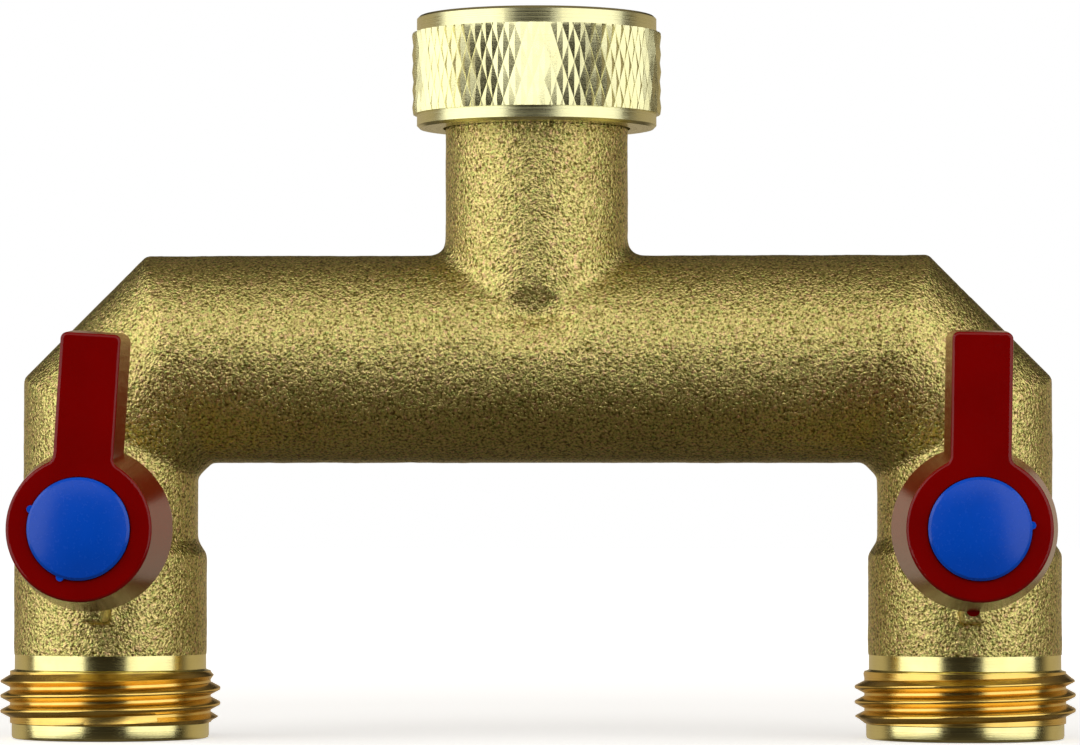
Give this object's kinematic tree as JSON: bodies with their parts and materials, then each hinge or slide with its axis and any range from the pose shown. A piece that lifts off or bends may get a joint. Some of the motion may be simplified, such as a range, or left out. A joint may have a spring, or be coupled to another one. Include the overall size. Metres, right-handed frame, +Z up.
{
  "type": "hose splitter",
  "caption": "U-shaped cast brass hose splitter: knurled swivel inlet nut above, lever-operated ball valves and threaded outlets below.",
  "frame": {"origin": "centre of the inlet washer's sealing face, where the end of the tap stops", "axes": "+Z up along the inlet's axis, out of the inlet nut; +X to the right from one outlet to the other; the valve levers are at the front, -Y, and the outlets point down, -Z"},
  "size_m": [0.1292, 0.0485, 0.0869],
  "materials": {
    "cast_brass": "sand-cast and blasted, fine grain",
    "machined_brass": "turned bright",
    "red_plastic": "glossy moulded",
    "blue_plastic": "satin moulded",
    "black_rubber": "matte",
    "ptfe": "waxy white",
    "chrome_plate": "polished",
    "steel": "zinc plated"
  },
  "bodies": {
    "manifold": {"manifold_body": "cast_brass", "nut_snap_ring": "steel", "left_upper_seat": "ptfe", "left_lower_seat": "ptfe", "left_seat_retainer": "machined_brass", "left_thrust_washer": "ptfe", "left_gland_nut": "machined_brass", "right_upper_seat": "ptfe", "right_lower_seat": "ptfe", "right_seat_retainer": "machined_brass", "right_thrust_washer": "ptfe", "right_gland_nut": "machined_brass"},
    "swivel_nut": {"inlet_nut": "machined_brass", "inlet_washer": "black_rubber"},
    "left_valve": {"left_ball": "chrome_plate", "left_stem": "machined_brass", "left_inner_o_ring": "black_rubber", "left_outer_o_ring": "black_rubber", "left_handle": "red_plastic", "left_handle_screw": "steel", "left_cap": "blue_plastic"},
    "right_valve": {"right_ball": "chrome_plate", "right_stem": "machined_brass", "right_inner_o_ring": "black_rubber", "right_outer_o_ring": "black_rubber", "right_handle": "red_plastic", "right_handle_screw": "steel", "right_cap": "blue_plastic"}
  },
  "joints": [
    {"name": "nut_swivel", "type": "hinge", "parent": "manifold", "child": "swivel_nut", "pos_m": [0, 0, 0], "axis": [0, 0, 1], "continuous": true},
    {"name": "left_lever", "type": "hinge", "parent": "manifold", "child": "left_valve", "pos_m": [-0.0514, -0.02, -0.055], "axis": [0, 1, 0], "range_deg": [-3.5, 86.5]},
    {"name": "right_lever", "type": "hinge", "parent": "manifold", "child": "right_valve", "pos_m": [0.0514, -0.02, -0.055], "axis": [0, 1, 0], "range_deg": [-1, 89]}
  ]
}
